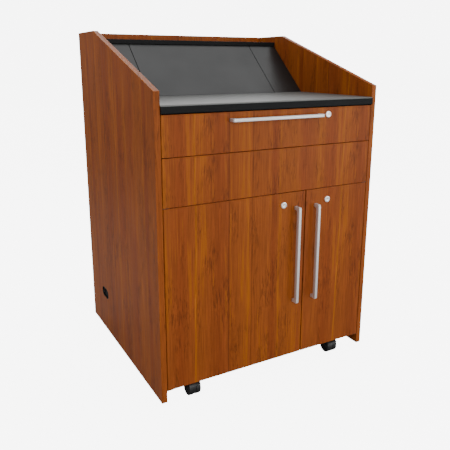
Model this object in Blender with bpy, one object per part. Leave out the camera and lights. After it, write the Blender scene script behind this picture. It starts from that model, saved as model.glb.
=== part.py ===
"""Presentation lectern: a wood-grain laminate cabinet on four twin-wheel casters.

The cabinet has a black work surface with a sloped black console behind it, a locking drawer,
a fixed fascia, a rack bay and a storage bay behind two locking doors, and a rear access panel.
Metres, +Z up, front towards -Y, origin on the floor under the middle of the bounding box.
"""

import math

import bmesh
import bpy
from mathutils import Matrix, Vector

# Overall sizes
WIDTH = 0.832
SIDE_DEPTH = 0.751
HEIGHT = 1.190
FRONT_HEIGHT = 1.003
SLOPE_RUN = 0.557
FOOT = 0.022
BOARD = 0.019
HANDLE_REACH = 0.028

# Gaps: CLEAR between pieces that touch, REVEAL round the doors and the drawer front, DOOR_GAP
# between the doors
CLEAR = 0.0003
REVEAL = 0.002
DOOR_GAP = 0.004
BEHIND_FRONTS = 0.0023

# Heights of the fronts and shelves above the floor
BASE_UNDER = 0.0625
DOOR_LINE = 0.662
DRAWER_LINE = 0.812
SURFACE_UNDER = 0.938
SURFACE_TOP = 0.964
DECK_UNDER = 0.787
REAR_LINE = 0.899

# Doors
DOOR_GAP_X = 0.1255
PIVOT_INSET = 0.006
DOOR_CORNER = 0.002
PIN_RADIUS = 0.002
PIN_HOLE_RADIUS = 0.00215
PIN_DEPTH = 0.009
PIVOT_PLATE = (0.020, 0.044)

# Handles, all three alike
HANDLE_LENGTH = 0.345
HANDLE_BAR = 0.014
HANDLE_WIDE = 0.010
HANDLE_LEG = 0.011
HANDLE_OUTER_R = 0.006
HANDLE_INNER_R = 0.010
HANDLE_FROM_GAP = 0.0405
DOOR_HANDLE_Z = 0.439
DRAWER_HANDLE_Z = 0.912

# Cam locks
LOCK_FACE_R = 0.011
LOCK_FACE_THICK = 0.0045
REAR_FACE_THICK = 0.0022
LOCK_BARREL_R = 0.0094
LOCK_HOLE_R = 0.0097
LOCK_PLUG_R = 0.0068
LOCK_BORE_R = 0.0070
LOCK_BARREL_END = 0.0242
CAM_NEAR = 0.0252
CAM_THICK = 0.0025
CAM_WIDE = 0.013
LOCK_FROM_GAP = 0.091
DOOR_LOCK_Z = 0.6205
DRAWER_LOCK = (0.205, 0.913)
REAR_LOCK_Z = 0.872
DOOR_CAM = 0.032
DRAWER_CAM = 0.0195
REAR_CAM = 0.039

# Strike plates behind the fronts
STRIKE_WIDE = 0.034
STRIKE_THICK = 0.002

# Work surface and console
SURFACE_PROUD = 0.006
BASE_END = 0.600
NOSE_TOP_R = 0.008
NOSE_UNDER_R = 0.003
CONSOLE_FOOT = 0.405
CONSOLE_HEAD = 0.609
CONSOLE_TOP = 1.149
CONSOLE_SKIN = 0.0196
LEDGE_THICK = 0.016
LEDGE_FRONT = 0.606
SEAM_X = 0.2665
SEAM_GAP = 0.002

# Back of the cabinet
BACK_INSET = 0.003

# Drawer
TRAY_HALF = 0.3840
TRAY_LOW = 0.828
TRAY_HIGH = 0.895
TRAY_BACK = 0.470
TRAY_WALL = 0.0015
SLIDE_LENGTH = 0.450
SLIDE_MID_Z = 0.8675
SLIDE_SHEET = 0.0012
CLEAT_HIGH = 0.025

# Rack rails (twelve rack units) and the shelf in the right bay
RACK_UNIT = 0.04445
RACK_UNITS = 12
RAIL_LOW = 0.090
RAIL_SET_BACK = 0.060
RAIL_FLANGE = 0.0312
RAIL_SIDE = 0.040
RAIL_SHEET = 0.002
SHELF_UNDER = 0.355
SHELF_FRONT = 0.045
SHELF_BACK = 0.700

# Cable port in the left side
PORT_Y = 0.575
PORT_Z = 0.182
PORT_LONG = 0.080
PORT_HIGH = 0.040
PORT_CORNER = 0.0198
PORT_WALL = 0.002
PORT_SLOT = (0.028, 0.026)
PORT_SLOT_OFF = 0.0175
PORT_SLOT_CORNER = 0.0125
PORT_RECESS = 0.007
PORT_PLATE = 0.003

# Casters
CASTER_X = 0.291
CASTER_IN = 0.0585
CASTER_TRAIL = 0.020
WHEEL_R = 0.025
WHEEL_HALF = 0.022
WHEEL_SLOT = 0.004
WHEEL_EDGE = 0.0045
AXLE_R = 0.004
AXLE_BORE_R = 0.00425
WEB_HALF = 0.0032
WEB_R = 0.0235
FENDER_IN = 0.0264
FENDER_OUT = 0.0286
FENDER_HALF = 0.0205
BOSS_R = 0.012
BOSS_LOW = 0.0500
BOSS_TOP = 0.0617
STEM_R = 0.0055
STEM_TOP = 0.0785
STEM_BORE_R = 0.0058
STEM_BORE_TOP = 0.0795

FRONT = HANDLE_REACH - (SIDE_DEPTH + HANDLE_REACH) / 2
INNER = WIDTH / 2 - BOARD
BASE_TOP = BASE_UNDER + BOARD
DIVIDER = (DOOR_GAP_X - BOARD / 2, DOOR_GAP_X + BOARD / 2)
BACK_FACE = SIDE_DEPTH - BACK_INSET
BACK_INNER = BACK_FACE - BOARD
LEFT, RIGHT = -1, 1

# Finishes: colour, roughness, metallic
FINISHES = {
    "cherry_laminate": ((0.42, 0.13, 0.035), 0.35, 0.0),
    "black_laminate": ((0.035, 0.037, 0.040), 0.40, 0.0),
    "satin_nickel": ((0.72, 0.72, 0.74), 0.28, 1.0),
    "zinc_steel": ((0.58, 0.60, 0.62), 0.35, 1.0),
    "black_steel": ((0.02, 0.02, 0.022), 0.45, 0.0),
    "black_nylon": ((0.025, 0.027, 0.030), 0.50, 0.0),
    "black_tread": ((0.018, 0.019, 0.021), 0.65, 0.0),
}


def clear_scene():
    """Remove the objects that the file starts with."""
    for thing in list(bpy.data.objects):
        bpy.data.objects.remove(thing, do_unlink=True)


def depth(distance):
    """World y of a point at a distance behind the side panels' front edges."""
    return FRONT + distance


def finish_material(name, finish):
    """Make the Principled BSDF of one sub-part."""
    colour, roughness, metallic = FINISHES[finish]
    material = bpy.data.materials.new(f"{name}_{finish}")
    material.use_nodes = True
    shader = material.node_tree.nodes["Principled BSDF"]
    shader.inputs["Base Color"].default_value = (*colour, 1.0)
    shader.inputs["Roughness"].default_value = roughness
    shader.inputs["Metallic"].default_value = metallic
    return material


def from_bmesh(name, bm, finish=None):
    """Turn a closed bmesh into an object with its faces pointing out."""
    bmesh.ops.recalc_face_normals(bm, faces=bm.faces)
    mesh = bpy.data.meshes.new(name)
    bm.to_mesh(mesh)
    bm.free()
    thing = bpy.data.objects.new(name, mesh)
    bpy.context.collection.objects.link(thing)
    if finish:
        mesh.materials.append(finish_material(name, finish))
    return thing


def prism(name, axis, outline, low, high, finish=None):
    """Extrude a closed outline along X (outline in y, z), Y (x, z) or Z (x, y)."""
    def point(pair, along):
        a, b = pair
        return {"X": (along, a, b), "Y": (a, along, b), "Z": (a, b, along)}[axis]

    bm = bmesh.new()
    ends = [[bm.verts.new(point(pair, along)) for pair in outline] for along in (low, high)]
    bm.faces.new(ends[0])
    bm.faces.new(list(reversed(ends[1])))
    count = len(outline)
    for i in range(count):
        j = (i + 1) % count
        bm.faces.new((ends[0][i], ends[1][i], ends[1][j], ends[0][j]))
    return from_bmesh(name, bm, finish)


def board(name, x, y, z, finish=None):
    """A rectangular board between pairs of x, distance behind the front, and z."""
    outline = ((x[0], z[0]), (x[1], z[0]), (x[1], z[1]), (x[0], z[1]))
    return prism(name, "Y", outline, depth(y[0]), depth(y[1]), finish)


def arc(centre, radius, start, end, steps):
    """Points along a circular arc, angles in degrees, both ends included."""
    angles = [math.radians(start + (end - start) * i / steps) for i in range(steps + 1)]
    return [(centre[0] + radius * math.cos(a), centre[1] + radius * math.sin(a)) for a in angles]


def rounded_rectangle(centre, size, radius, steps=4):
    """Outline of a rectangle with round corners, counter-clockwise."""
    half_a, half_b = size[0] / 2 - radius, size[1] / 2 - radius
    corners = ((1, 1, 0), (-1, 1, 90), (-1, -1, 180), (1, -1, 270))
    points = []
    for side_a, side_b, start in corners:
        middle = (centre[0] + side_a * half_a, centre[1] + side_b * half_b)
        points += arc(middle, radius, start, start + 90, steps)
    return points


def turned(name, profile, segments, frame, finish=None):
    """Revolve a profile of (along, radius) pairs about the frame's own X axis.

    A profile that starts and ends on the axis makes a bar, and any other one is closed into a ring.
    """
    bm = bmesh.new()
    rings = []
    for along, radius in profile:
        if radius == 0:
            rings.append([bm.verts.new(frame @ Vector((along, 0, 0)))])
            continue
        angles = [2 * math.pi * i / segments for i in range(segments)]
        rings.append([bm.verts.new(frame @ Vector((along, radius * math.sin(a), -radius * math.cos(a))))
                      for a in angles])
    following = rings[1:] if profile[0][1] == 0 else rings[1:] + rings[:1]
    for first, second in zip(rings, following):
        for i in range(segments):
            j = (i + 1) % segments
            if len(first) == 1:
                bm.faces.new((first[0], second[i], second[j]))
            elif len(second) == 1:
                bm.faces.new((first[j], first[i], second[0]))
            else:
                bm.faces.new((first[i], second[i], second[j], first[j]))
    return from_bmesh(name, bm, finish)


def frame_along(start, end):
    """A frame at the start point with its own X axis towards the end point."""
    turn = (Vector(end) - Vector(start)).to_track_quat("X", "Z").to_matrix().to_4x4()
    return Matrix.Translation(start) @ turn


def rod(name, start, end, radius, segments=24, finish=None):
    """A round bar between two points."""
    frame = frame_along(start, end)
    length = (Vector(end) - Vector(start)).length
    return turned(name, ((0, 0), (0, radius), (length, radius), (length, 0)), segments, frame, finish)


def combine(thing, tool, operation):
    """Cut a tool out of a thing, or join it on, with a live Boolean."""
    modifier = thing.modifiers.new(tool.name, "BOOLEAN")
    modifier.operation = operation
    modifier.solver = "EXACT"
    modifier.object = tool
    tool.hide_render = True
    tool.display_type = "WIRE"
    return thing


def cut(thing, tool):
    return combine(thing, tool, "DIFFERENCE")


def add(thing, tool):
    return combine(thing, tool, "UNION")


def joint_axis(name, point):
    """An empty that marks a joint's axis and carries the pieces that move on it."""
    marker = bpy.data.objects.new(name, None)
    marker.location = point
    marker.empty_display_size = 0.03
    bpy.context.collection.objects.link(marker)
    return marker


def carry(marker, *things):
    """Parent pieces to a joint's marker without moving them."""
    for thing in things:
        thing.parent = marker
        thing.matrix_parent_inverse = Matrix.Translation(marker.location).inverted()


# Cabinet carcass

def port_outline(shrink):
    """Outline of the cable port, smaller all round by shrink."""
    size = (PORT_LONG - 2 * shrink, PORT_HIGH - 2 * shrink)
    return rounded_rectangle((depth(PORT_Y), PORT_Z), size, PORT_CORNER - shrink)


def side_panels():
    """Two side boards with sloped upper fronts; the left one has the cable port."""
    outline = ((depth(0), FOOT), (depth(SIDE_DEPTH), FOOT), (depth(SIDE_DEPTH), HEIGHT),
               (depth(SLOPE_RUN), HEIGHT), (depth(0), FRONT_HEIGHT))
    left = prism("left_side_panel", "X", outline, -WIDTH / 2, -INNER, "cherry_laminate")
    prism("right_side_panel", "X", outline, INNER, WIDTH / 2, "cherry_laminate")
    cut(left, prism("port_cutter", "X", port_outline(0), -WIDTH / 2 - 0.01, -INNER + 0.01))


def bottom_panel():
    """Bottom board with a blind bore for each caster stem."""
    panel = board("bottom_panel", (CLEAR - INNER, INNER - CLEAR), (BOARD + BEHIND_FRONTS, BACK_FACE),
                  (BASE_UNDER, BASE_TOP), "cherry_laminate")
    for name, x, y in caster_places():
        low, high = (x, y, BASE_UNDER - 0.01), (x, y, STEM_BORE_TOP)
        cut(panel, rod(f"{name}_bore_cutter", low, high, STEM_BORE_R))


def inner_boards():
    """Divider, drawer deck, rail behind the fascia, and the work surface's cleats."""
    front, back = depth(BOARD + BEHIND_FRONTS), depth(BACK_INNER - CLEAR)
    low, high = BASE_TOP + CLEAR, DECK_UNDER - CLEAR
    rail_y = (BOARD + CLEAR, 2 * BOARD + CLEAR)
    rail_z = (DOOR_LINE + REVEAL / 2 + CLEAR, DOOR_LINE + REVEAL / 2 + CLEAR + 0.035)
    notch = depth(rail_y[1] + CLEAR)
    outline = ((front, low), (back, low), (back, high), (front, high), (front, rail_z[1] + CLEAR),
               (notch, rail_z[1] + CLEAR), (notch, rail_z[0] - CLEAR), (front, rail_z[0] - CLEAR))
    prism("centre_divider", "X", outline, *DIVIDER, "cherry_laminate")
    across = (CLEAR - INNER, INNER - CLEAR)
    board("fascia_rail", across, rail_y, rail_z, "cherry_laminate")
    board("drawer_deck", across, (BOARD + CLEAR, BASE_END), (DECK_UNDER, DECK_UNDER + BOARD),
          "cherry_laminate")
    for name, side in (("left", LEFT), ("right", RIGHT)):
        x = sorted((side * (INNER - CLEAR), side * (INNER - CLEAR - BOARD)))
        board(f"{name}_surface_cleat", x, (0.050, BASE_END),
              (SURFACE_UNDER - CLEAR - CLEAT_HIGH, SURFACE_UNDER - CLEAR), "cherry_laminate")


def fixed_fronts_and_back():
    """Fascia between drawer and doors, and the fixed upper back."""
    board("front_fascia", (REVEAL - INNER, INNER - REVEAL), (0, BOARD),
          (DOOR_LINE + REVEAL / 2, DRAWER_LINE - REVEAL / 2), "cherry_laminate")
    board("upper_back_panel", (CLEAR - INNER, INNER - CLEAR), (BACK_INNER, BACK_FACE),
          (REAR_LINE + REVEAL / 2, HEIGHT), "cherry_laminate")


def rack_and_shelf():
    """A pair of rack rails in the left bay and a shelf in the right bay."""
    rails = (("left_rack_rail", CLEAR - INNER, RIGHT), ("right_rack_rail", DIVIDER[0] - CLEAR, LEFT))
    y0, y1, y2 = (depth(RAIL_SET_BACK + step) for step in (0, RAIL_SHEET, RAIL_SIDE))
    for name, wall, way in rails:
        sheet, flange = wall + way * RAIL_SHEET, wall + way * RAIL_FLANGE
        outline = ((wall, y0), (flange, y0), (flange, y1), (sheet, y1), (sheet, y2), (wall, y2))
        prism(name, "Z", outline, RAIL_LOW, RAIL_LOW + RACK_UNITS * RACK_UNIT, "black_steel")
    board("adjustable_shelf", (DIVIDER[1] + CLEAR, INNER - CLEAR), (SHELF_FRONT, SHELF_BACK),
          (SHELF_UNDER, SHELF_UNDER + BOARD), "cherry_laminate")


def cable_port():
    """Liner of the port, flush with the side, and its recessed plate with two slots."""
    outside = -WIDTH / 2
    liner = prism("cable_port_liner", "X", port_outline(CLEAR), outside + CLEAR, -INNER, "black_nylon")
    cut(liner, prism("liner_cutter", "X", port_outline(PORT_WALL), outside - 0.01, 0.01 - INNER))
    near = outside + PORT_RECESS
    plate = prism("cable_port_plate", "X", port_outline(PORT_WALL + CLEAR), near, near + PORT_PLATE,
                  "black_nylon")
    for name, way in (("front", -1), ("rear", 1)):
        middle = (depth(PORT_Y + way * PORT_SLOT_OFF), PORT_Z)
        slot = rounded_rectangle(middle, PORT_SLOT, PORT_SLOT_CORNER)
        cut(plate, prism(f"port_{name}_slot_cutter", "X", slot, near - 0.01, near + 0.02))


# Work surface and console

def work_surface():
    """Black top between the sides with a rounded front edge."""
    nose = depth(-SURFACE_PROUD)
    upper = arc((nose + NOSE_TOP_R, SURFACE_TOP - NOSE_TOP_R), NOSE_TOP_R, 90, 180, 6)
    lower = arc((nose + NOSE_UNDER_R, SURFACE_UNDER + NOSE_UNDER_R), NOSE_UNDER_R, 180, 270, 3)
    back = depth(CONSOLE_FOOT - CLEAR)
    outline = upper + lower + [(back, SURFACE_UNDER), (back, SURFACE_TOP)]
    prism("work_surface", "X", outline, CLEAR - INNER, INNER - CLEAR, "black_laminate")


def console():
    """Sloped console in three panels, the base and gussets under it, and the ledge above it."""
    low, high = SURFACE_TOP + CLEAR, CONSOLE_TOP - CLEAR
    skin = ((depth(CONSOLE_FOOT), low), (depth(CONSOLE_FOOT + CONSOLE_SKIN), low),
            (depth(CONSOLE_HEAD + CONSOLE_SKIN), high), (depth(CONSOLE_HEAD), high))
    inner, outer = SEAM_X - SEAM_GAP / 2, SEAM_X + SEAM_GAP / 2
    prism("console_centre_panel", "X", skin, -inner, inner, "black_laminate")
    prism("console_left_wing", "X", skin, CLEAR - INNER, -outer, "black_laminate")
    prism("console_right_wing", "X", skin, outer, INNER - CLEAR, "black_laminate")
    across = (CLEAR - INNER, INNER - CLEAR)
    board("console_ledge", across, (LEDGE_FRONT, BACK_INNER - CLEAR),
          (CONSOLE_TOP, CONSOLE_TOP + LEDGE_THICK), "black_laminate")
    board("console_base", across, (CONSOLE_FOOT, BASE_END), (SURFACE_UNDER, SURFACE_TOP), "black_laminate")

    rise = (high - low) / (CONSOLE_HEAD - CONSOLE_FOOT)
    toe = CONSOLE_FOOT + CONSOLE_SKIN + 2 * CLEAR
    heel = BASE_END - 0.002
    gusset = ((depth(toe), low), (depth(heel), low), (depth(heel), low + rise * (heel - toe)))
    for name, side in (("left", LEFT), ("right", RIGHT)):
        middle = side * SEAM_X
        prism(f"{name}_console_gusset", "X", gusset, middle - BOARD / 2, middle + BOARD / 2,
              "black_laminate")


# Handles and locks

def handle_outline():
    """Side view of a handle: along its length, and out from the front it is fixed to."""
    half, reach = HANDLE_LENGTH / 2, HANDLE_REACH
    inner, under = half - HANDLE_LEG, reach - HANDLE_BAR
    outer_r, inner_r = HANDLE_OUTER_R, HANDLE_INNER_R
    right = [(half, CLEAR)]
    right += arc((half - outer_r, reach - outer_r), outer_r, 0, 90, 5)
    left = [(-a, b) for a, b in reversed(right)]
    inside_left = [(-inner, CLEAR)]
    inside_left += arc((inner_r - inner, under - inner_r), inner_r, 180, 90, 5)
    inside_right = [(-a, b) for a, b in reversed(inside_left)]
    return right + left + inside_left + inside_right


def handle(name, x, z, upright):
    """A bow handle on the front faces, level or upright."""
    outline = [(along, depth(-out)) for along, out in handle_outline()]
    if upright:
        pairs = [(y, z + along) for along, y in outline]
        return prism(name, "X", pairs, x - HANDLE_WIDE / 2, x + HANDLE_WIDE / 2, "satin_nickel")
    pairs = [(x + along, y) for along, y in outline]
    return prism(name, "Z", pairs, z - HANDLE_WIDE / 2, z + HANDLE_WIDE / 2, "satin_nickel")


def lock_hole(thing, x, z):
    """Bore a front or the rear panel for a lock barrel."""
    near, far = (BACK_INNER, SIDE_DEPTH) if thing.name == "rear_access_panel" else (0, BOARD)
    start, end = (x, depth(near - 0.01), z), (x, depth(far + 0.01), z)
    cut(thing, rod(f"{thing.name}_lock_cutter", start, end, LOCK_HOLE_R))


def cam_lock(name, x, z, cam, way, rear=False):
    """A lock body with its face and barrel, and the plug with its cam, unlocked at rest."""
    face = BACK_FACE + CLEAR if rear else -CLEAR
    inward = -1 if rear else 1
    thick = REAR_FACE_THICK if rear else LOCK_FACE_THICK

    def at(distance):
        return (x, depth(face + inward * distance), z)

    profile = ((-thick, LOCK_BORE_R), (-thick, LOCK_FACE_R), (0, LOCK_FACE_R),
               (0, LOCK_BARREL_R), (LOCK_BARREL_END, LOCK_BARREL_R), (LOCK_BARREL_END, LOCK_BORE_R))
    body = turned(f"{name}_lock_body", profile, 32, frame_along(at(0), at(1)), "satin_nickel")

    cam_far = CAM_NEAR + CAM_THICK
    plug = rod(f"{name}_lock_plug", at(-thick), at(cam_far - 0.0005), LOCK_PLUG_R, 32,
               "satin_nickel")
    y = sorted((face + inward * CAM_NEAR, face + inward * cam_far))
    arm = sorted((x - way * CAM_WIDE / 2, x + way * cam))
    add(plug, board(f"{name}_cam_tool", arm, y, (z - CAM_WIDE / 2, z + CAM_WIDE / 2)))
    marker = joint_axis(f"{name}_lock_axis", at(0))
    carry(marker, plug)
    return body, marker


def strike(name, x, ceiling, drop):
    """An angle plate that a lock's cam turns behind."""
    y = (BOARD + BEHIND_FRONTS, BOARD + BEHIND_FRONTS + STRIKE_THICK)
    back, top = 2 * BOARD, ceiling - CLEAR
    outline = ((depth(y[0]), top), (depth(y[0]), top - drop), (depth(y[1]), top - drop),
               (depth(y[1]), top - STRIKE_THICK), (depth(back), top - STRIKE_THICK), (depth(back), top))
    prism(name, "X", outline, x - STRIKE_WIDE / 2, x + STRIKE_WIDE / 2, "zinc_steel")


# Drawer

def drawer():
    """Drawer front, steel tray, handle and lock, all carried by the drawer's slides."""
    marker = joint_axis("drawer_travel", (0, depth(0), SLIDE_MID_Z))
    front = board("drawer_front", (REVEAL - INNER, INNER - REVEAL), (0, BOARD),
                  (DRAWER_LINE + REVEAL / 2, SURFACE_UNDER - REVEAL), "cherry_laminate")
    lock_hole(front, *DRAWER_LOCK)
    tray = board("drawer_tray", (-TRAY_HALF, TRAY_HALF), (BOARD + CLEAR, TRAY_BACK),
                 (TRAY_LOW, TRAY_HIGH), "black_steel")
    inside = TRAY_HALF - TRAY_WALL
    cut(tray, board("tray_cutter", (-inside, inside), (BOARD + CLEAR + TRAY_WALL, TRAY_BACK - TRAY_WALL),
                    (TRAY_LOW + TRAY_WALL, TRAY_HIGH + 0.01)))
    pull = handle("drawer_handle", 0, DRAWER_HANDLE_Z, upright=False)
    body, plug_marker = cam_lock("drawer", *DRAWER_LOCK, DRAWER_CAM, LEFT)
    carry(marker, front, tray, pull, body, plug_marker)
    strike("drawer_strike", DRAWER_LOCK[0], SURFACE_UNDER, 0.0137)
    drawer_slides(marker)


def channel(name, side, back, lips, half_height):
    """One member of a telescopic slide: a web with two flanges, as a channel."""
    low, high = SLIDE_MID_Z - half_height, SLIDE_MID_Z + half_height
    web = back + (SLIDE_SHEET if lips > back else -SLIDE_SHEET)
    pairs = ((back, low), (lips, low), (lips, low + SLIDE_SHEET), (web, low + SLIDE_SHEET),
             (web, high - SLIDE_SHEET), (lips, high - SLIDE_SHEET), (lips, high), (back, high))
    outline = [(side * x, z) for x, z in pairs]
    start = depth(BOARD + BEHIND_FRONTS)
    return prism(name, "Y", outline, start, start + SLIDE_LENGTH, "zinc_steel")


def drawer_slides(marker):
    """Full-extension slides: outer on the cabinet, inner on the tray, middle between them."""
    for name, side in (("left", LEFT), ("right", RIGHT)):
        channel(f"{name}_slide_outer", side, INNER - CLEAR, INNER - 0.0098, 0.0225)
        middle = channel(f"{name}_slide_middle", side, INNER - 0.0030, INNER - 0.0108, 0.0200)
        inner = channel(f"{name}_slide_inner", side, TRAY_HALF + CLEAR, TRAY_HALF + 0.0075, 0.0165)
        halfway = joint_axis(f"{name}_middle_travel", (side * INNER, depth(0), SLIDE_MID_Z))
        carry(halfway, middle)
        carry(marker, inner)


# Doors

def door(name, side, lock_way):
    """A flush door on pivots, with its handle, lock and strike."""
    hinge_x, gap_x = side * (INNER - REVEAL), DOOR_GAP_X + side * DOOR_GAP / 2
    pivot = (side * (INNER - REVEAL - PIVOT_INSET), depth(PIVOT_INSET), 0)
    low, high = BASE_UNDER, DOOR_LINE - REVEAL / 2
    corner_x = hinge_x - side * DOOR_CORNER
    corner = arc((corner_x, depth(DOOR_CORNER)), DOOR_CORNER, 270, 180 if side < 0 else 360, 4)
    outline = [(gap_x, depth(0))] + corner + [(hinge_x, depth(BOARD)), (gap_x, depth(BOARD))]
    leaf = prism(f"{name}_door", "Z", outline, low, high, "cherry_laminate")
    for end, z, way in (("upper", high, -1), ("lower", low, 1)):
        start, stop = (pivot[0], pivot[1], z - way * 0.01), (pivot[0], pivot[1], z + way * PIN_DEPTH)
        cut(leaf, rod(f"{name}_{end}_pin_cutter", start, stop, PIN_HOLE_RADIUS, 16))
    lock_x = DOOR_GAP_X + side * LOCK_FROM_GAP
    lock_hole(leaf, lock_x, DOOR_LOCK_Z)
    pull = handle(f"{name}_door_handle", DOOR_GAP_X + side * HANDLE_FROM_GAP, DOOR_HANDLE_Z, upright=True)
    body, plug_marker = cam_lock(f"{name}_door", lock_x, DOOR_LOCK_Z, DOOR_CAM, lock_way)
    marker = joint_axis(f"{name}_door_axis", pivot)
    carry(marker, leaf, pull, body, plug_marker)
    strike(f"{name}_door_strike", lock_x, DOOR_LINE + REVEAL / 2 + CLEAR, 0.029)
    pivots(name, side, pivot)


def pivots(name, side, pivot):
    """The door's upper and lower pivot plates, each with its pin, fixed to the cabinet."""
    wall = side * (INNER - 2 * CLEAR)
    x = sorted((wall, wall - side * PIVOT_PLATE[0]))
    upper_z = (DOOR_LINE - REVEAL / 2 + 0.0004, DOOR_LINE + REVEAL / 2 - CLEAR)
    lower_z = (BASE_UNDER - CLEAR - 0.0019, BASE_UNDER - CLEAR)
    reach = PIN_DEPTH - 0.0008
    ends = (("upper", upper_z, upper_z[1] - 0.0004, DOOR_LINE - REVEAL / 2 - reach, 2 * BOARD),
            ("lower", lower_z, lower_z[0] + 0.0004, BASE_UNDER + reach, PIVOT_PLATE[1]))
    for end, z, root, tip, back in ends:
        plate = board(f"{name}_door_{end}_pivot", x, (0.001, back), z, "black_steel")
        add(plate, rod(f"{name}_{end}_pin_tool", (*pivot[:2], root), (*pivot[:2], tip), PIN_RADIUS, 16))


# Rear access panel

def rear_access():
    """Lower back panel, which tilts out about its bottom edge, with its lock."""
    panel = board("rear_access_panel", (REVEAL - INNER, INNER - REVEAL), (BACK_INNER, BACK_FACE),
                  (BASE_TOP + REVEAL, REAR_LINE - REVEAL / 2), "cherry_laminate")
    lock_hole(panel, 0, REAR_LOCK_Z)
    body, plug_marker = cam_lock("rear_panel", 0, REAR_LOCK_Z, REAR_CAM, RIGHT, rear=True)
    marker = joint_axis("rear_panel_axis", (0, depth(BACK_FACE), BASE_TOP + REVEAL))
    carry(marker, panel, body, plug_marker)


# Casters

def caster_places():
    """Name and swivel axis of each caster."""
    rows = (("front", CASTER_IN), ("rear", SIDE_DEPTH - CASTER_IN))
    sides = (("left", LEFT), ("right", RIGHT))
    return [(f"{row}_{side}_caster", way * CASTER_X, depth(y)) for row, y in rows for side, way in sides]


def wheel_profile():
    """Half section of the twin wheels on their axle, from end to end."""
    edge, tread = WHEEL_EDGE, WHEEL_R
    half = [(0, AXLE_R), (WHEEL_SLOT, AXLE_R), (WHEEL_SLOT, tread - 0.001), (WHEEL_SLOT + 0.001, tread)]
    half += [(a, b) for a, b in arc((WHEEL_HALF - edge, tread - edge), edge, 90, 0, 4)]
    half += [(WHEEL_HALF, tread * 0.66), (WHEEL_HALF - 0.002, tread * 0.60), (WHEEL_HALF - 0.002, 0)]
    mirrored = [(-a, b) for a, b in reversed(half[1:])]
    return mirrored + half[1:]


def caster(name, x, y):
    """Hood with its stem, and the twin wheels on their axle below it."""
    axle_y = y - CASTER_TRAIL
    axle = (axle_y, WHEEL_R)
    web = arc(axle, WEB_R, 110, 320, 12)
    web += [(y + 0.007, 0.034), (y + 0.009, BOSS_LOW + 0.004), (axle_y - 0.004, BOSS_LOW + 0.0025)]
    hood = prism(f"{name}_hood", "X", web, x - WEB_HALF, x + WEB_HALF, "black_nylon")
    fender = arc(axle, FENDER_OUT, 20, 150, 14) + arc(axle, FENDER_IN, 150, 20, 14)
    add(hood, prism(f"{name}_fender_tool", "X", fender, x - FENDER_HALF, x + FENDER_HALF))
    add(hood, rod(f"{name}_boss_tool", (x, y, BOSS_LOW), (x, y, BOSS_TOP), BOSS_R, 24))
    add(hood, rod(f"{name}_stem_tool", (x, y, BOSS_TOP - 0.002), (x, y, STEM_TOP), STEM_R, 20))
    cut(hood, rod(f"{name}_axle_cutter", (x - 0.01, *axle), (x + 0.01, *axle), AXLE_BORE_R, 20))
    centre = Vector((x, *axle))
    wheels = turned(f"{name}_wheels", wheel_profile(), 32, Matrix.Translation(centre), "black_tread")
    swivel = joint_axis(f"{name}_swivel_axis", (x, y, BOSS_TOP))
    spin = joint_axis(f"{name}_wheel_axis", centre)
    carry(spin, wheels)
    carry(swivel, hood, spin)


def main():
    clear_scene()
    side_panels()
    bottom_panel()
    inner_boards()
    fixed_fronts_and_back()
    rack_and_shelf()
    cable_port()
    work_surface()
    console()
    drawer()
    door("left", LEFT, LEFT)
    door("right", RIGHT, RIGHT)
    rear_access()
    for name, x, y in caster_places():
        caster(name, x, y)
    bpy.context.view_layer.update()


main()
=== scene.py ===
"""Presentation lectern: the visible pieces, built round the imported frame.

Boards get eased edges and a printed cherry laminate, the worktop and console black laminates,
and every handle, lock, slide, rail, pivot and caster is rebuilt in full detail.
"""

import logging
import math
from collections.abc import Iterable, Sequence
from dataclasses import dataclass
from enum import Enum
from functools import lru_cache

import bmesh
import bpy
from mathutils import Matrix, Vector


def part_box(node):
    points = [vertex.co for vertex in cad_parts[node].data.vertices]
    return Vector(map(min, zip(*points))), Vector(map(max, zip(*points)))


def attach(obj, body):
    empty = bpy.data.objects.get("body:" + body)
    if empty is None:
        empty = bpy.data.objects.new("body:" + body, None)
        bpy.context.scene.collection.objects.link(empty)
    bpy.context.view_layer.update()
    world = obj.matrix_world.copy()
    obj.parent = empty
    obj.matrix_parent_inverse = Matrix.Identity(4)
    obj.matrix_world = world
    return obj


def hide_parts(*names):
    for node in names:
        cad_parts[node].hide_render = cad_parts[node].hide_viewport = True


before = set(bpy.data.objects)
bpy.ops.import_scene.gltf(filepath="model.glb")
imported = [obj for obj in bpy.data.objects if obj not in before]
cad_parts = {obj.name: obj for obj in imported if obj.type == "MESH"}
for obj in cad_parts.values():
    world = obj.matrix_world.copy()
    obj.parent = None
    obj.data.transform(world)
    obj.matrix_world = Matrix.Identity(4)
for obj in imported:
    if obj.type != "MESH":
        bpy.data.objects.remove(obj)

LOG = logging.getLogger("lectern")
MM = 0.001
Point = Sequence[float]
Outline = list[tuple[float, float]]
Place = tuple[Point, Point]
BMesh = bmesh.types.BMesh
Mesh = bpy.types.Mesh
Node = bpy.types.Node
Socket = bpy.types.NodeSocket
Tree = bpy.types.NodeTree


# ---------------------------------------------------------------- node and colour helpers

def srgb(code: str) -> tuple[float, float, float, float]:
    """Turn an sRGB hex colour into linear RGBA.

    Args:
        code: Six hex digits.

    Returns:
        Linear red, green, blue and an alpha of 1.
    """
    parts = [int(code[i:i + 2], 16) / 255 for i in (0, 2, 4)]
    linear = [c / 12.92 if c <= 0.04045 else ((c + 0.055) / 1.055) ** 2.4 for c in parts]
    return (*linear, 1.0)


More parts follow.
